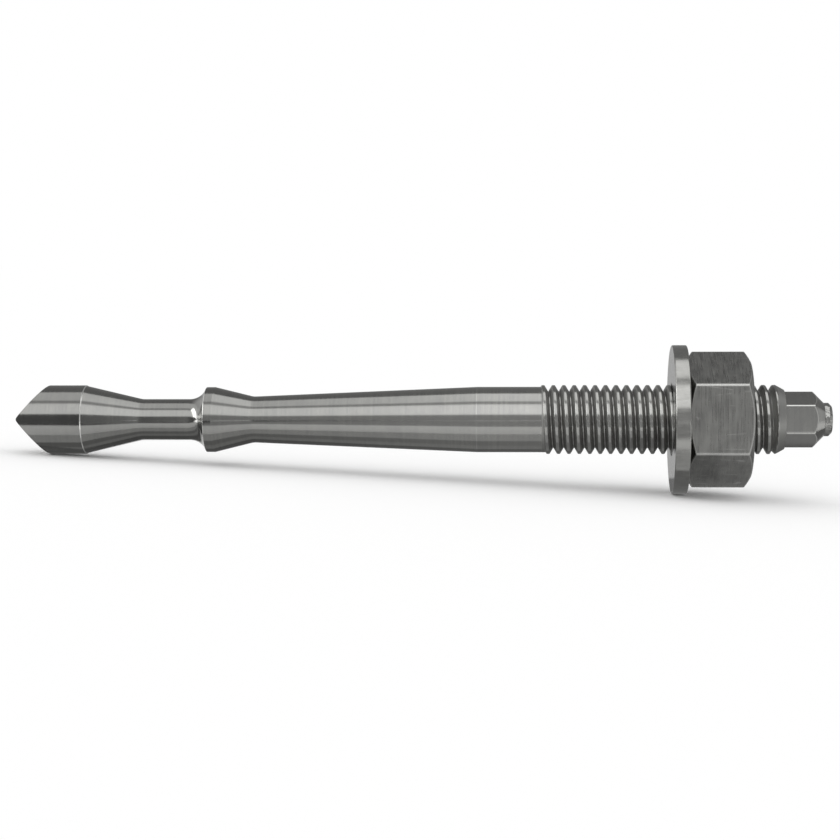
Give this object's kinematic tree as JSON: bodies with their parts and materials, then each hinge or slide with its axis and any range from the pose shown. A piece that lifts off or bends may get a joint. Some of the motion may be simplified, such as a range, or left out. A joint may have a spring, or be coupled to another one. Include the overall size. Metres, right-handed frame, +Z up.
{
  "type": "bonded anchor rod",
  "caption": "Threaded steel anchor rod for bonding into a drilled hole: roof-shaped tip, stepped cones, slow taper, hexagon drive end, and a washer and hexagon nut on the thread.",
  "frame": {"origin": "on the surface the anchor lies on, below the middle of its box", "axes": "+X along the rod from tip to drive end as seen from above, +Z up; the rod's axis rises about 3.6 degrees towards +X because the washer is wider than the nose, and it is rolled 3.5 degrees about that axis, as it comes to rest"},
  "size_m": [0.1168, 0.0214, 0.0215],
  "materials": {
    "rod_steel": "turned, bright zinc plated",
    "washer_steel": "stamped, zinc plated",
    "nut_steel": "satin, zinc plated"
  },
  "bodies": {
    "rod": {"anchor_rod": "rod_steel"},
    "washer": {"washer": "washer_steel"},
    "nut": {"hex_nut": "nut_steel"}
  },
  "joints": [
    {"name": "washer_slide", "type": "slide", "parent": "rod", "child": "washer", "axis": [0.998, 0, 0.0629], "range_m": [-0.01801, 0.00364]},
    {"name": "nut_turn", "type": "hinge", "parent": "washer", "child": "nut", "pos_m": [0.0377, 0, 0.0108], "axis": [0.998, 0, 0.0629], "range_deg": [-4320, 870]}
  ],
  "couplings": [
    {"joint": "washer_slide", "follows": "nut_turn", "m_per_rad": 0.00023873}
  ]
}
